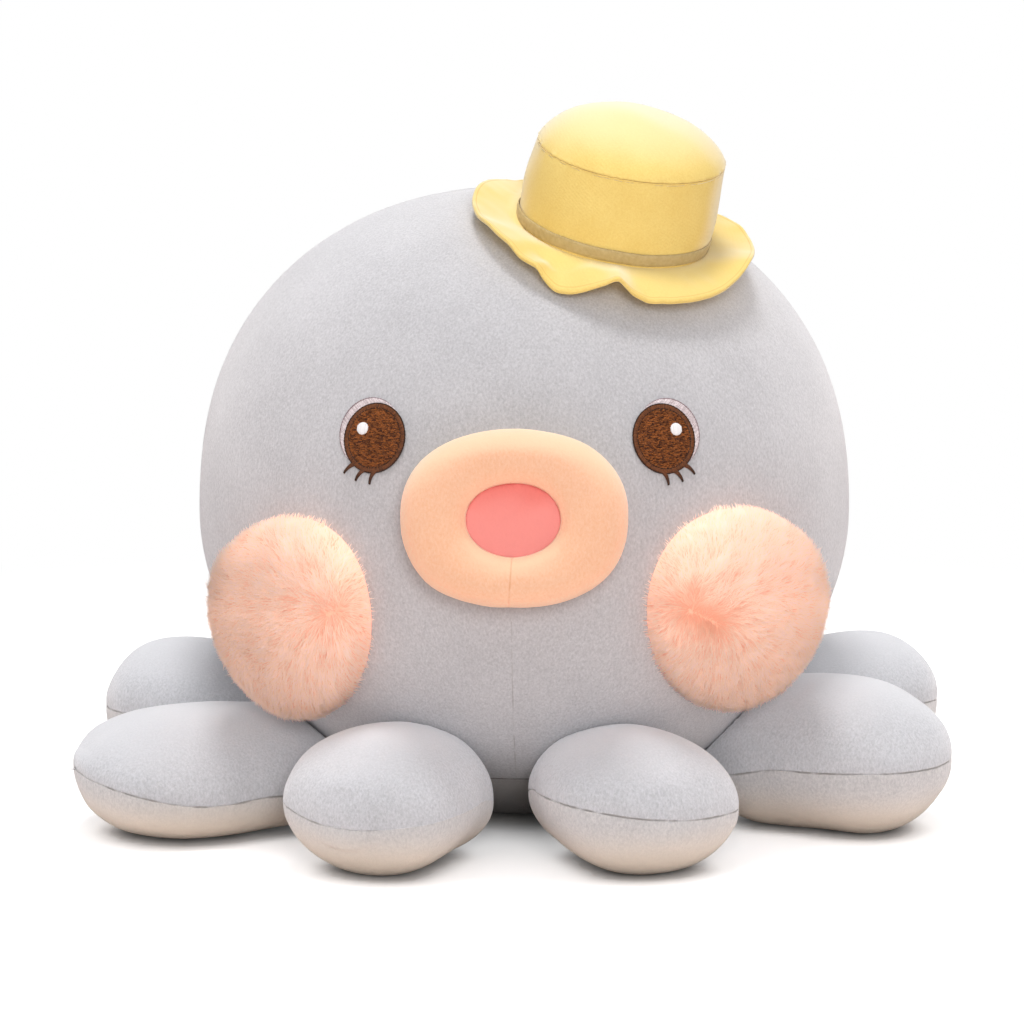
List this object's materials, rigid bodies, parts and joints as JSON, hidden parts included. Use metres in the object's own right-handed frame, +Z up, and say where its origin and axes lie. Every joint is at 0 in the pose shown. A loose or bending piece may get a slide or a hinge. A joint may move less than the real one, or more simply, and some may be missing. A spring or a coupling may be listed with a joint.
{
  "type": "plush octopus",
  "caption": "Stuffed velour octopus with a round body on a flat base, bulb-shaped arms sewn round it, a padded muzzle, fluffy cheeks, embroidered eyes and a small bucket hat",
  "frame": {"origin": "on the floor under the middle of the round body, on the flat of the base panel", "axes": "+Z up, the face looks along -Y, +X to the right as the viewer sees the face"},
  "size_m": [0.4032, 0.3686, 0.3324],
  "materials": {
    "grey_velour": "matte",
    "grey_velour_under": "matte",
    "polyester_fill": "matte",
    "peach_velour": "matte",
    "mouth_velour": "matte",
    "cheek_plush": "matte",
    "brown_thread": "satin",
    "dark_brown_thread": "satin",
    "white_thread": "satin",
    "pink_thread": "satin",
    "yellow_cotton": "matte",
    "tan_ribbon": "satin"
  },
  "bodies": {
    "body": {"body_back_left_panel": "grey_velour", "body_back_right_panel": "grey_velour", "body_base_panel": "grey_velour_under", "body_front_panel": "grey_velour", "body_stuffing": "polyester_fill", "cheek_left_cover": "cheek_plush", "cheek_left_stuffing": "polyester_fill", "cheek_right_cover": "cheek_plush", "cheek_right_stuffing": "polyester_fill", "eye_left_backing": "pink_thread", "eye_left_border": "dark_brown_thread", "eye_left_highlight": "white_thread", "eye_left_iris": "brown_thread", "eye_right_backing": "pink_thread", "eye_right_border": "dark_brown_thread", "eye_right_highlight": "white_thread", "eye_right_iris": "brown_thread", "hat_band": "tan_ribbon", "hat_brim_under": "yellow_cotton", "hat_brim_upper": "yellow_cotton", "hat_crown_side": "yellow_cotton", "hat_crown_top": "yellow_cotton", "hat_stuffing": "polyester_fill", "mouth_patch": "mouth_velour", "muzzle_ring": "peach_velour", "muzzle_stuffing": "polyester_fill"},
    "arm_front_left": {"arm_front_left_top_panel": "grey_velour", "arm_front_left_bottom_panel": "grey_velour_under", "arm_front_left_stuffing": "polyester_fill"},
    "arm_front_right": {"arm_front_right_top_panel": "grey_velour", "arm_front_right_bottom_panel": "grey_velour_under", "arm_front_right_stuffing": "polyester_fill"},
    "arm_side_left": {"arm_side_left_top_panel": "grey_velour", "arm_side_left_bottom_panel": "grey_velour_under", "arm_side_left_stuffing": "polyester_fill"},
    "arm_side_right": {"arm_side_right_top_panel": "grey_velour", "arm_side_right_bottom_panel": "grey_velour_under", "arm_side_right_stuffing": "polyester_fill"},
    "arm_back_left": {"arm_back_left_top_panel": "grey_velour", "arm_back_left_bottom_panel": "grey_velour_under", "arm_back_left_stuffing": "polyester_fill"},
    "arm_back_right": {"arm_back_right_top_panel": "grey_velour", "arm_back_right_bottom_panel": "grey_velour_under", "arm_back_right_stuffing": "polyester_fill"},
    "arm_rear_left": {"arm_rear_left_top_panel": "grey_velour", "arm_rear_left_bottom_panel": "grey_velour_under", "arm_rear_left_stuffing": "polyester_fill"},
    "arm_rear_right": {"arm_rear_right_top_panel": "grey_velour", "arm_rear_right_bottom_panel": "grey_velour_under", "arm_rear_right_stuffing": "polyester_fill"}
  },
  "joints": [
    {"name": "arm_front_left_root", "type": "hinge", "parent": "body", "child": "arm_front_left", "pos_m": [-0.03742, -0.08732, 0.028], "axis": [-0.9191, 0.3939, 0], "range_deg": [-35, 0], "stiffness_Nm_per_rad": 0.06},
    {"name": "arm_front_right_root", "type": "hinge", "parent": "body", "child": "arm_front_right", "pos_m": [0.03681, -0.08758, 0.028], "axis": [-0.9219, -0.3875, 0], "range_deg": [-35, 0], "stiffness_Nm_per_rad": 0.06},
    {"name": "arm_side_left_root", "type": "hinge", "parent": "body", "child": "arm_side_left", "pos_m": [-0.08777, -0.03635, 0.028], "axis": [-0.3827, 0.9239, 0], "range_deg": [-35, 0], "stiffness_Nm_per_rad": 0.06},
    {"name": "arm_side_right_root", "type": "hinge", "parent": "body", "child": "arm_side_right", "pos_m": [0.0908, -0.02793, 0.028], "axis": [-0.294, -0.9558, 0], "range_deg": [-35, 0], "stiffness_Nm_per_rad": 0.06},
    {"name": "arm_back_left_root", "type": "hinge", "parent": "body", "child": "arm_back_left", "pos_m": [-0.09132, 0.02619, 0.028], "axis": [0.2756, 0.9613, 0], "range_deg": [-35, 0], "stiffness_Nm_per_rad": 0.06},
    {"name": "arm_back_right_root", "type": "hinge", "parent": "body", "child": "arm_back_right", "pos_m": [0.08596, 0.04045, 0.028], "axis": [0.4258, -0.9048, 0], "range_deg": [-35, 0], "stiffness_Nm_per_rad": 0.06},
    {"name": "arm_rear_left_root", "type": "hinge", "parent": "body", "child": "arm_rear_left", "pos_m": [-0.03864, 0.08679, 0.028], "axis": [0.9135, 0.4067, 0], "range_deg": [-35, 0], "stiffness_Nm_per_rad": 0.06},
    {"name": "arm_rear_right_root", "type": "hinge", "parent": "body", "child": "arm_rear_right", "pos_m": [0.03559, 0.08808, 0.028], "axis": [0.9272, -0.3746, 0], "range_deg": [-35, 0], "stiffness_Nm_per_rad": 0.06}
  ]
}
